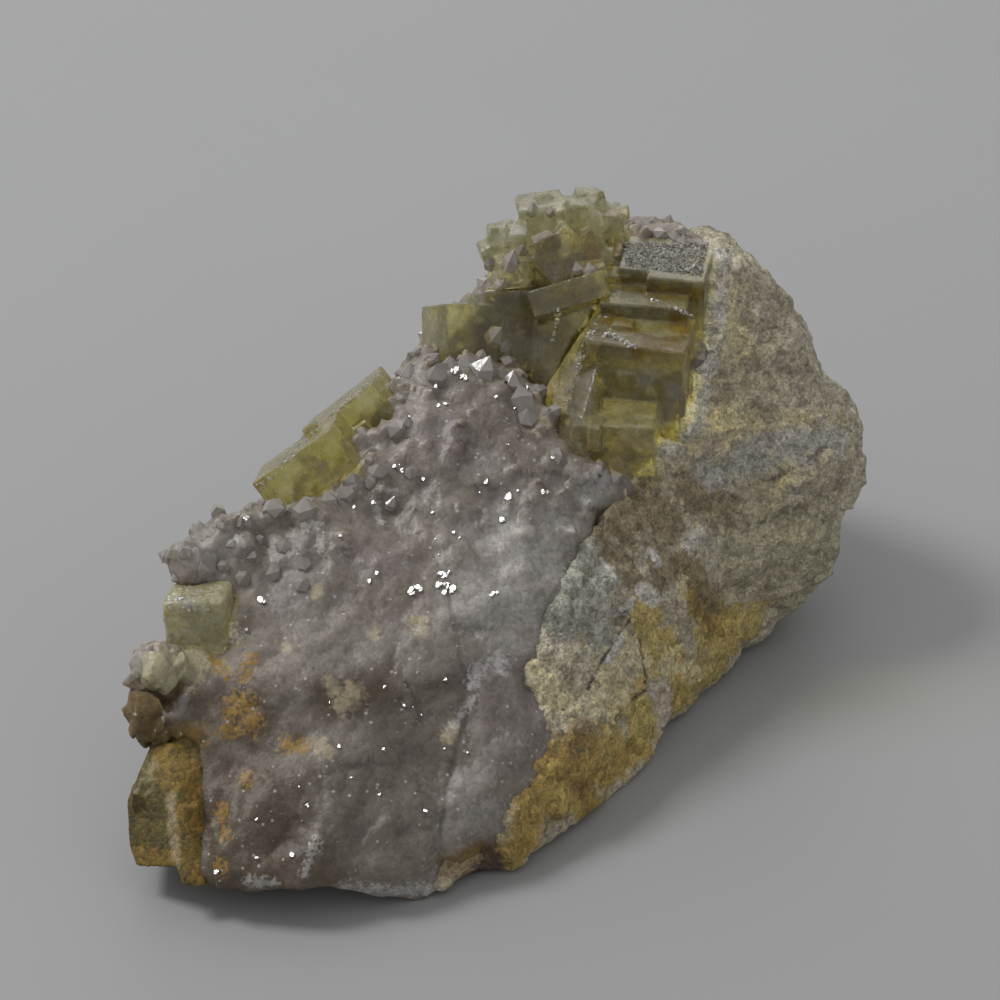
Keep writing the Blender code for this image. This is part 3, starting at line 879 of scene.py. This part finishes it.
bigPoints = [               # frame point and half width of the large crystals along the edges
    (438, 372, 1.5), (452, 366, 1.6), (468, 362, 1.7), (484, 368, 1.6), (499, 374, 1.6), (512, 384, 1.5),
    (522, 398, 1.4), (528, 418, 1.3), (186, 546, 1.1), (200, 528, 1.1), (248, 520, 1.1), (278, 508, 1.2),
    (306, 505, 1.3), (410, 372, 1.2), (398, 384, 1.1), (398, 428, 1.2), (412, 470, 1), (378, 470, 1.1),
    (352, 476, 1.2), (392, 500, 0.9), (345, 492, 1), (655, 221, 0.7), (668, 222, 0.9), (681, 231, 0.7),
    (640, 222, 0.6)
]

pointValues = {
    "colours": ((0.47, 0.43, 0.39), (0.64, 0.60, 0.56)),
    "roughness": (0.05, 0.2),
    "clearness": 0.6,
    "scratchDepth": 0.03,
}


def pointFinish(name):
    values = pointValues
    material, tree, shader = newMaterial(name)
    dull = ramp(tree, noiseAt(tree, 0.7, 2.0), 0.4, 0.6, *values["roughness"])
    fill(tree, shader, Base_Color=blendColours(tree, noiseAt(tree, 0.3, 3.0), *values["colours"]),
         Roughness=dull, IOR=crustValues["bend"], Transmission_Weight=values["clearness"],
         Normal=bump(tree, noiseAt(tree, 2.5, 3.0), values["scratchDepth"], 0.5))
    return material


def addSingles(made, tree, places, build, dice):
    # Points that stand where the lines of sight meet a piece.
    for x, y, radius in places:
        at, outward = onPiece(tree, x, y)[:2]
        along = (outward + Vector((0, 0, 0.7)) + anyWay(dice, build["lean"])).normalized()
        addPoint(made, at, along, radius, build["stretch"], build["point"], radius, dice)


def makeDruse(crust, values):
    points, outward = corners(crust.data), cornerNormals(crust.data)
    high = (points[:, 2] > values["above"] * mm) & (outward[:, 2] > values["facing"])
    high = clearOf(points, high & (upSlope(points) > values["from"]), ["matrix_rock"], values["fromRock"])
    clear = clearOf(points, high, fluoriteNodes, values["fromFluorite"])
    left, behind = values["skyline"]
    skyline = (points[:, 0] < left * mm) & (points[:, 1] > behind * mm)
    allowed = clear & (skyline | ~clearOf(points, high, fluoriteNodes, values["fringeEnd"]))
    dice = random.Random(values["seed"])
    made = [], []
    build = values["fringe"]
    for i in pickSpots(points, allowed, build["spacing"], dice):
        along = (Vector(outward[i]) + anyWay(dice, build["lean"])).normalized()
        radius = dice.uniform(*build["radius"])
        addPoint(made, Vector(points[i]), along, radius, build["stretch"], build["point"], build["root"],
                 dice)
    addSingles(made, treeOf(crust.data), bigPoints, values["single"], dice)
    crystalPiece("quartz_points", made, pointFinish("clear_quartz"))


glitterSpots = [            # frame point and half width in millimetres of each bright facet
    (444, 574, 0.9), (450, 588, 1.15), (440, 586, 0.8), (410, 591, 0.75), (419, 590, 0.55), (494, 594, 0.6),
    (377, 574, 0.35), (370, 582, 0.3), (455, 372, 0.55), (464, 377, 0.55), (545, 492, 0.55),
    (508, 496, 0.45), (488, 483, 0.45), (503, 521, 0.45), (526, 388, 0.45), (436, 387, 0.5),
    (395, 467, 0.35), (403, 471, 0.4), (355, 507, 0.3), (392, 509, 0.35), (433, 513, 0.25),
    (454, 533, 0.25), (460, 538, 0.25), (439, 555, 0.2), (497, 397, 0.25), (439, 406, 0.25),
    (446, 404, 0.3), (515, 409, 0.25), (480, 493, 0.2), (518, 491, 0.2), (509, 445, 0.2), (553, 458, 0.3),
    (341, 536, 0.25), (257, 534, 0.25), (445, 680, 0.3), (385, 688, 0.35), (405, 706, 0.25),
    (422, 715, 0.2), (340, 747, 0.35), (384, 750, 0.2), (445, 749, 0.2), (352, 778, 0.2), (380, 795, 0.25),
    (308, 806, 0.35), (256, 820, 0.3), (426, 812, 0.3), (216, 872, 0.35), (292, 855, 0.3), (257, 858, 0.25),
    (262, 601, 0.45), (330, 703, 0.2), (374, 503, 0.3), (478, 374, 0.25), (410, 422, 0.25), (410, 417, 0.2),
    (424, 480, 0.3), (377, 477, 0.3), (247, 630, 0.25), (468, 753, 0.2), (400, 465, 0.2)
]

glitterValues = {
    "seed": 23,
    "partWidth": 0.16,       # a wide facet is made of parts of about this half width
    "partReach": 0.45,       # the widest half width that a part may have
    "scatter": (0.2, 9),     # frame points that the parts lie apart, per millimetre past the first value
    "tilt": 0.05,
    "root": 0.5,             # how much deeper than its half width a facet reaches
    "rise": (0.1, 0.3),      # how far it stands out, and how much more per half width
    "strays": 130,
    "strayArea": ((170, 370), (600, 890)),
    "strayReach": (0.04, 0.06, 0.08, 0.12),
    "strayTilt": 0.3,
}


def makeGlitter(crust, values):
    # Facets that face half way between the camera and the window, where the crust flashes.
    tree = treeOf(crust.data)
    dice = random.Random(values["seed"])
    window = Vector(stageValues["windowFrom"])
    single, apart = values["scatter"]
    places = []
    for x, y, reach in glitterSpots:
        parts = max(1, round(reach / values["partWidth"]))
        for _ in range(parts):
            away = (reach - single) * apart * dice.random() if parts > 1 else 0
            angle = dice.uniform(0, 6.28)
            width = min(reach, values["partReach"]) * dice.uniform(0.5, 1.0)
            places.append((x + away * math.cos(angle), y + away * math.sin(angle) * 0.8, width,
                           values["tilt"]))
    (left, top), (right, bottom) = values["strayArea"]
    wanted = len(places) + values["strays"]
    while len(places) < wanted:
        x, y = dice.uniform(left, right), dice.uniform(top, bottom)
        if onPiece(tree, x, y)[0] is not None:
            places.append((x, y, dice.choice(values["strayReach"]), values["strayTilt"]))
    made = [], []
    low, more = values["rise"]
    for x, y, reach, tilt in places:
        at = onPiece(tree, x, y)[0]
        look = (window - at).normalized() + (camera.matrix_world.translation - at).normalized()
        look = (look.normalized() + anyWay(dice, tilt)).normalized()
        addTablet(made, at, look, reach, reach + values["root"], low + more * reach, dice)
    crystalPiece("quartz_facets", made, pointFinish("bright_quartz"))


frostValues = {
    "seed": 31,
    "colours": {
        "flakes": ((0.085, 0.076, 0.055), (0.27, 0.26, 0.235)),
        # Light grains: white grains, and also painted glints and sheen where they lie on lit edges and
        # faces.
        "grains": ((0.25, 0.24, 0.21), (0.62, 0.61, 0.58)),
    },
    "roughness": (0.15, 0.4),
    "scratchDepth": 0.02,
    "flat": (0.2, 0.02, 0.2),              # how deep it sits, how far it stands out, more per half width
    "raised": (0.3, 0, 0.6),
    "raisedTilt": 0.8,
    "singles": {"stretch": (0.8, 1.4), "point": (1.0, 1.35), "lean": 0.6},
}

# The grains on the terrace's top strips and on the flank cube's top paint their sheen and sparkle; those on
# the block's left face are its white grains.
frostFields = [             # four corners in frame points, flakes, half width, how far they tilt, kind
    ([(622, 243), (708, 243), (702, 277), (626, 266)], 1900, (0.06, 0.15), 0.6, "flakes"),
    ([(604, 300), (596, 330), (556, 440), (548, 400)], 130, (0.05, 0.14), 0.5, "grains"),
    ([(300, 440), (384, 368), (378, 376), (296, 452)], 120, (0.06, 0.15), 0.25, "grains"),
    ([(250, 490), (300, 445), (296, 455), (254, 500)], 80, (0.06, 0.15), 0.25, "grains"),
    ([(165, 585), (222, 585), (216, 612), (168, 610)], 70, (0.08, 0.2), 0.5, "grains"),
]

# The first run paints the glints along the lit ledge of the block.
grainAndGlintLines = [              # runs of white grains: frame points, grains, half width
    ([(603, 336), (611, 334), (622, 341), (637, 348)], 60, (0.15, 0.35)),
    ([(652, 300), (666, 305), (680, 310), (694, 317)], 30, (0.08, 0.18)),
    ([(560, 308), (557, 325), (552, 342)], 26, (0.12, 0.22)),
    ([(684, 272), (698, 264)], 26, (0.15, 0.3)),
]

perchedPoints = [           # frame point and half width of single crystals
    (498, 333, 1.25), (505, 345, 0.9), (512, 260, 1.15), (521, 250, 0.9), (489, 262, 0.8), (500, 285, 0.8),
    (590, 268, 0.7), (532, 208, 0.7), (550, 213, 0.6), (578, 266, 0.7)
]


def acrossField(field, dice):
    # A random frame point inside four corners.
    u, v = dice.random(), dice.random()
    a, b, c, d = np.array(field, float)
    return (a * (1 - u) + b * u) * (1 - v) + (d * (1 - u) + c * u) * v


def alongLine(line, dice):
    i = dice.randrange(len(line) - 1)
    share = dice.random()
    return tuple(a + (b - a) * share + dice.uniform(-1.2, 1.2) for a, b in zip(line[i], line[i + 1]))


def addGrain(made, tree, place, reach, tilt, body, dice):
    # One flake or grain where the line of sight meets a piece, if it does.
    at, outward = onPiece(tree, *place)[:2]
    if at is not None:
        look = (outward + anyWay(dice, tilt)).normalized()
        reach = dice.uniform(*reach)
        depth, low, more = body
        addTablet(made, at, look, reach, depth, low + more * reach, dice)


def makeFrost(pieces, values):
    tree = joinedTree([piece.data for piece in pieces])
    dice = random.Random(values["seed"])
    made = {kind: ([], []) for kind in values["colours"]}
    for field, count, reach, tilt, kind in frostFields:
        for _ in range(count):
            addGrain(made[kind], tree, acrossField(field, dice), reach, tilt, values["flat"], dice)
    for line, count, reach in grainAndGlintLines:
        for _ in range(count):
            addGrain(made["grains"], tree, alongLine(line, dice), reach, values["raisedTilt"],
                     values["raised"], dice)
    for kind, crystals in made.items():
        finish = frostFinish("frost_" + kind, values["colours"][kind], values)
        crystalPiece("frost_" + kind, crystals, finish)
    singles = [], []
    addSingles(singles, tree, perchedPoints, values["singles"], dice)
    crystalPiece("perched_quartz", singles, pointFinish("perched_quartz"))


def frostFinish(name, colours, values):
    material, tree, shader = newMaterial(name)
    broad = ramp(tree, noiseAt(tree, 2.5, 2.0), 0.45, 0.65)
    dull = ramp(tree, noiseAt(tree, 1.1, 2.0), 0.4, 0.6, *values["roughness"])
    fill(tree, shader, Base_Color=blendColours(tree, broad, *colours), Roughness=dull,
         Normal=bump(tree, noiseAt(tree, 4.0, 2.0), values["scratchDepth"], 0.6))
    return material


# The fluorite.

fluoriteShared = {          # what every crystal has where its own values say nothing else
    "voxel": 0.19,
    "relax": 1,
    "twist": 1.5,
    "bleed": 0,
    "tint": (0.86, 0.81, 0.20),
    "thick": 100,
    "clearness": 0.87,
    "speckle": 0.5,
    "grain": 0.02,
    "grains": 1.9,          # per millimetre
    "clouds": (0.5, 5.0, 0.7, 0.8),
    "cloudEdge": (0.42, 0.64),
    "bend": 1.434,
    "wave": (0.05, 0.4, 3, 2.0),           # height in millimetres, lumps per millimetre, octaves, start
    "cloudiness": 0.8,
    "spread": (1.0, 0.9, 0.35),
    "gloss": (0.06, 0.35),
}

fluoriteValues = {
    "fluorite_block": {
        "sprouts": 18, "sproutSize": (1.0, 3.2), "twist": 2.5, "ripple": 0.09, "clearness": 0.86,
        "shadow": (0.78, 0.75, 0.50), "colours": ((0.70, 0.66, 0.34), (0.90, 0.88, 0.70))},
    "fluorite_crest_cubes": {
        "sprouts": 8, "sproutSize": (0.8, 2.4), "speckle": 0.35, "ripple": 0.06, "grain": 0.015,
        "tint": (0.86, 0.83, 0.17), "shadow": (0.80, 0.77, 0.50),
        "colours": ((0.78, 0.74, 0.36), (0.88, 0.86, 0.62))},
    "fluorite_summit_cubes": {
        "relax": 6, "sprouts": 44, "sproutSize": (1.2, 2.8), "twist": 14, "speckle": 0.4,
        "ripple": 0.12, "grain": 0.03, "tint": (0.80, 0.77, 0.36), "thick": 150, "clearness": 0.8,
        "shadow": (0.66, 0.63, 0.42), "colours": ((0.52, 0.50, 0.31), (0.80, 0.79, 0.66))},
    "fluorite_terrace": {
        "sprouts": 6, "sproutSize": (1.4, 3.4), "speckle": 0.4, "ripple": 0.08, "thick": 105,
        "shadow": (0.72, 0.69, 0.44), "colours": ((0.64, 0.60, 0.27), (0.84, 0.81, 0.58))},
    "fluorite_flank_cube": {
        "voxel": 0.22, "relax": 45, "sprouts": 5, "sproutSize": (1.2, 2.6), "twist": 6, "ripple": 0.2,
        "grain": 0.05, "tint": (0.86, 0.82, 0.40), "thick": 90, "clearness": 0.6, "bleed": 1.5,
        "shadow": (0.66, 0.63, 0.45), "colours": ((0.56, 0.53, 0.28), (0.74, 0.71, 0.48))},
    "fluorite_foot": {      # stained through, so nothing shines through it
        "voxel": 0.22, "relax": 2, "sprouts": 4, "sproutSize": (1.0, 2.6), "twist": 3, "speckle": 1.3,
        "ripple": 0.35, "grain": 0.12, "clearness": 0, "gloss": (0.5, 0.8),
        "colours": ((0.07, 0.05, 0.009), (0.115, 0.088, 0.02))},
}

fluoriteStains = {
    "amber": ((0.46, 0.27, 0.025), 0.5, 0.35, 0.35, 0.85),
    # Painted shade in the crevices and recesses between crystals, over the crystals' own deeper colour.
    "deepTintAndShade": ((0.33, 0.265, 0.165), 0.5, 0.25, 0.3, 0.7),
    "streaks": ((0.8, 0.78, 0.72), 1.6, 0.9, 0.15, 0.45),
    "cloudy": ((0.95, 0.95, 0.9), 0.9, 0.4, 0.3, 0.7),
    "ochre": ((0.2, 0.125, 0.02), 0.9, 0.6, 0.25, 0.8),
    "paleSkin": ((0.22, 0.19, 0.1), 0.9, 0.6, 0.25, 0.7),
}

# The deep strokes paint shade into the dark crevice between the crest and the block, the recess under the
# terrace and the dark faces among the summit cubes, over darker colour of the crystals' own.
fluoriteStrokes = {
    "fluorite_block": {
        "amber": [
            ((610, 318), (632, 328), 1.1), ((676, 322), (692, 332), 1.1),
            ((640, 345), (670, 345), (690, 355), 1.6), ((625, 281), (655, 290), (700, 296), 0.9)],
        "deepTintAndShade": [
            ((608, 292), (590, 325), (575, 350), 0.9), ((553, 400), (560, 440), (566, 456), 1.8),
            ((590, 340), (570, 380), (555, 430), 3), ((590, 455), (625, 460), 1.6)],
        "streaks": [
            ((594, 335), (577, 362), (562, 395), 1.1), ((652, 300), (668, 306), (690, 316), 0.4),
            ((585, 385), (575, 420), 1.2)],
        "cloudy": [
            ((648, 372), (644, 385), 0.8), ((670, 388), (676, 394), 0.7), ((640, 255), (680, 250), 2),
            ((660, 420), (670, 410), 1.2)],
    },
    "fluorite_crest_cubes": {
        "amber": [((520, 328), (535, 332), 0.6)],
        "deepTintAndShade": [
            ((505, 305), (540, 300), (585, 288), 1.5), ((608, 290), (590, 318), (565, 352), 1.2),
            ((484, 332), (490, 352), (515, 365), (538, 380), 1.4), ((525, 330), (530, 350), 2.2),
            ((550, 350), (560, 330), 1.6)],
        "streaks": [((515, 340), (535, 352), 1)],
        "cloudy": [((430, 320), (432, 355), 1.2)],
    },
    "fluorite_summit_cubes": {
        "amber": [((585, 240), (595, 255), 1)],
        "deepTintAndShade": [((560, 230), (545, 252), (540, 280), 1.5), ((577, 234), (590, 255), (575, 275), 1.8)],
        "cloudy": [((505, 235), (515, 228), 1), ((530, 205), (550, 205), 1)],
    },
    "fluorite_terrace": {
        "amber": [((300, 440), (340, 400), (372, 378), 0.4), ((250, 495), (290, 455), 0.4)],
        "deepTintAndShade": [((385, 430), (392, 450), 1.4), ((352, 475), (368, 470), 1.4)],
        "cloudy": [((390, 385), (395, 400), 0.8)],
    },
    "fluorite_flank_cube": {
        "streaks": [((175, 600), (200, 608), 0.7)],
    },
    "fluorite_foot": {
        "ochre": [((160, 760), (190, 775), (196, 880), 1.6), ((140, 862), (175, 868), 1.2)],
        "deepTintAndShade": [((172, 800), (176, 860), 0.7)],
        "paleSkin": [((152, 765), (144, 790), 0.7)],
    },
}


def crystalAxes(mesh):
    # The three directions that most of the crystal's faces look in.
    areas = np.array([face.area for face in mesh.polygons])
    looks = np.array([face.normal for face in mesh.polygons])

    def strongest(allowed):
        best, most = None, -1
        for i in np.flatnonzero(allowed):
            total = areas[np.abs(looks @ looks[i]) > 0.995].sum()
            if total > most:
                best, most = looks[i], total
        return Vector(best)

    first = strongest(np.ones(len(areas), bool))
    second = strongest(np.abs(looks @ np.array(first)) < 0.2)
    third = first.cross(second).normalized()
    second = third.cross(first).normalized()
    return Matrix((first, second, third)).transposed()


def sprouts(mesh, axes, values, dice):
    # Small crystals that grow out of the faces, all turned nearly the same way.
    areas = [face.area for face in mesh.polygons]
    made = bmesh.new()
    for face in dice.choices(list(mesh.polygons), weights=areas, k=values["sprouts"]):
        spot = Vector()
        shares = [dice.random() for _ in face.vertices]
        for share, index in zip(shares, face.vertices):
            spot += mesh.vertices[index].co * (share / sum(shares))
        sides = [dice.uniform(*values["sproutSize"]) * mm for _ in range(3)]
        twist = values["twist"]
        turn = Euler([math.radians(dice.uniform(-twist, twist)) for _ in range(3)]).to_matrix()
        inward = face.normal * (min(sides) * 0.5 - dice.uniform(0.15, 0.45) * mm)
        place = Matrix.Translation(spot - inward) @ (axes @ turn).to_4x4()
        bmesh.ops.create_cube(made, size=1, matrix=place @ Matrix.Diagonal(sides + [1]))
    mesh = bpy.data.meshes.new("sprouts")
    made.to_mesh(mesh)
    made.free()
    return mesh


def fluoriteFinish(name, values):
    material, tree, shader = newMaterial(name + "_finish")
    stains = {mask: stain for mask, stain in fluoriteStains.items() if mask in fluoriteStrokes[name]}
    colour, clouds = stained(tree, values, stains)
    grain = grained(tree, values["grains"], values["speckle"])
    relief = maths(tree, "MULTIPLY_ADD", clouds, values["ripple"] / values["grain"], grain["Height"])
    fill(tree, shader, Base_Color=shaded(tree, colour, grain["Tone"]), IOR=values["bend"],
         Roughness=ramp(tree, noiseAt(tree, 0.5, 4.0, 0.65), 0.35, 0.7, *values["gloss"]),
         Transmission_Weight=values["clearness"], Normal=bump(tree, relief, values["grain"]))
    if values["bleed"]:
        fill(tree, shader, Subsurface_Weight=values["cloudiness"], Subsurface_Radius=values["spread"],
             Subsurface_Scale=values["bleed"] * mm)
    if values["clearness"]:
        soak = put(tree, "ShaderNodeVolumeAbsorption", Color=values["tint"], Density=values["thick"])
        shade = put(tree, "ShaderNodeBsdfTransparent", Color=values["shadow"])
        light = tree.nodes.new("ShaderNodeLightPath")
        both = put(tree, "ShaderNodeMixShader", Fac=light.outputs["Is Shadow Ray"])
        tree.links.new(shader.outputs["BSDF"], both.inputs[1])
        tree.links.new(shade.outputs["BSDF"], both.inputs[2])
        fill(tree, tree.nodes["Material Output"], Surface=both.outputs["Shader"],
             Volume=soak.outputs["Volume"])
    return material


def makeFluorite(name, values):
    mesh = nodes[name].data
    dice = random.Random(name)
    axes = crystalAxes(mesh)
    piece = skin(name + "_crystals", [mesh, sprouts(mesh, axes, values, dice)], values["voxel"])
    relax(piece.data, values["relax"])
    points, outward = corners(piece.data), cornerNormals(piece.data)
    masks = paintedMasks(piece, points, fluoriteStrokes[name])
    lift(piece, points, outward, lumps(spots(points), *values["wave"]), masks)
    dress(piece, fluoriteFinish(name, values), [name])
    return piece


# The specimen.

camera = addCamera(cameraValues)
addStage(stageValues)
wholeTree = joinedTree([node.data for node in nodes.values()])
print("camera and stage are in place")
makeRock(rockValues)
crust = makeCrust(crustValues)
makeDruse(crust, druseValues)
makeGlitter(crust, glitterValues)
growths = [makeFluorite(nodeName, {**fluoriteShared, **fluoriteValues[nodeName]})
           for nodeName in fluoriteNodes]
makeFrost(growths + [crust], frostValues)
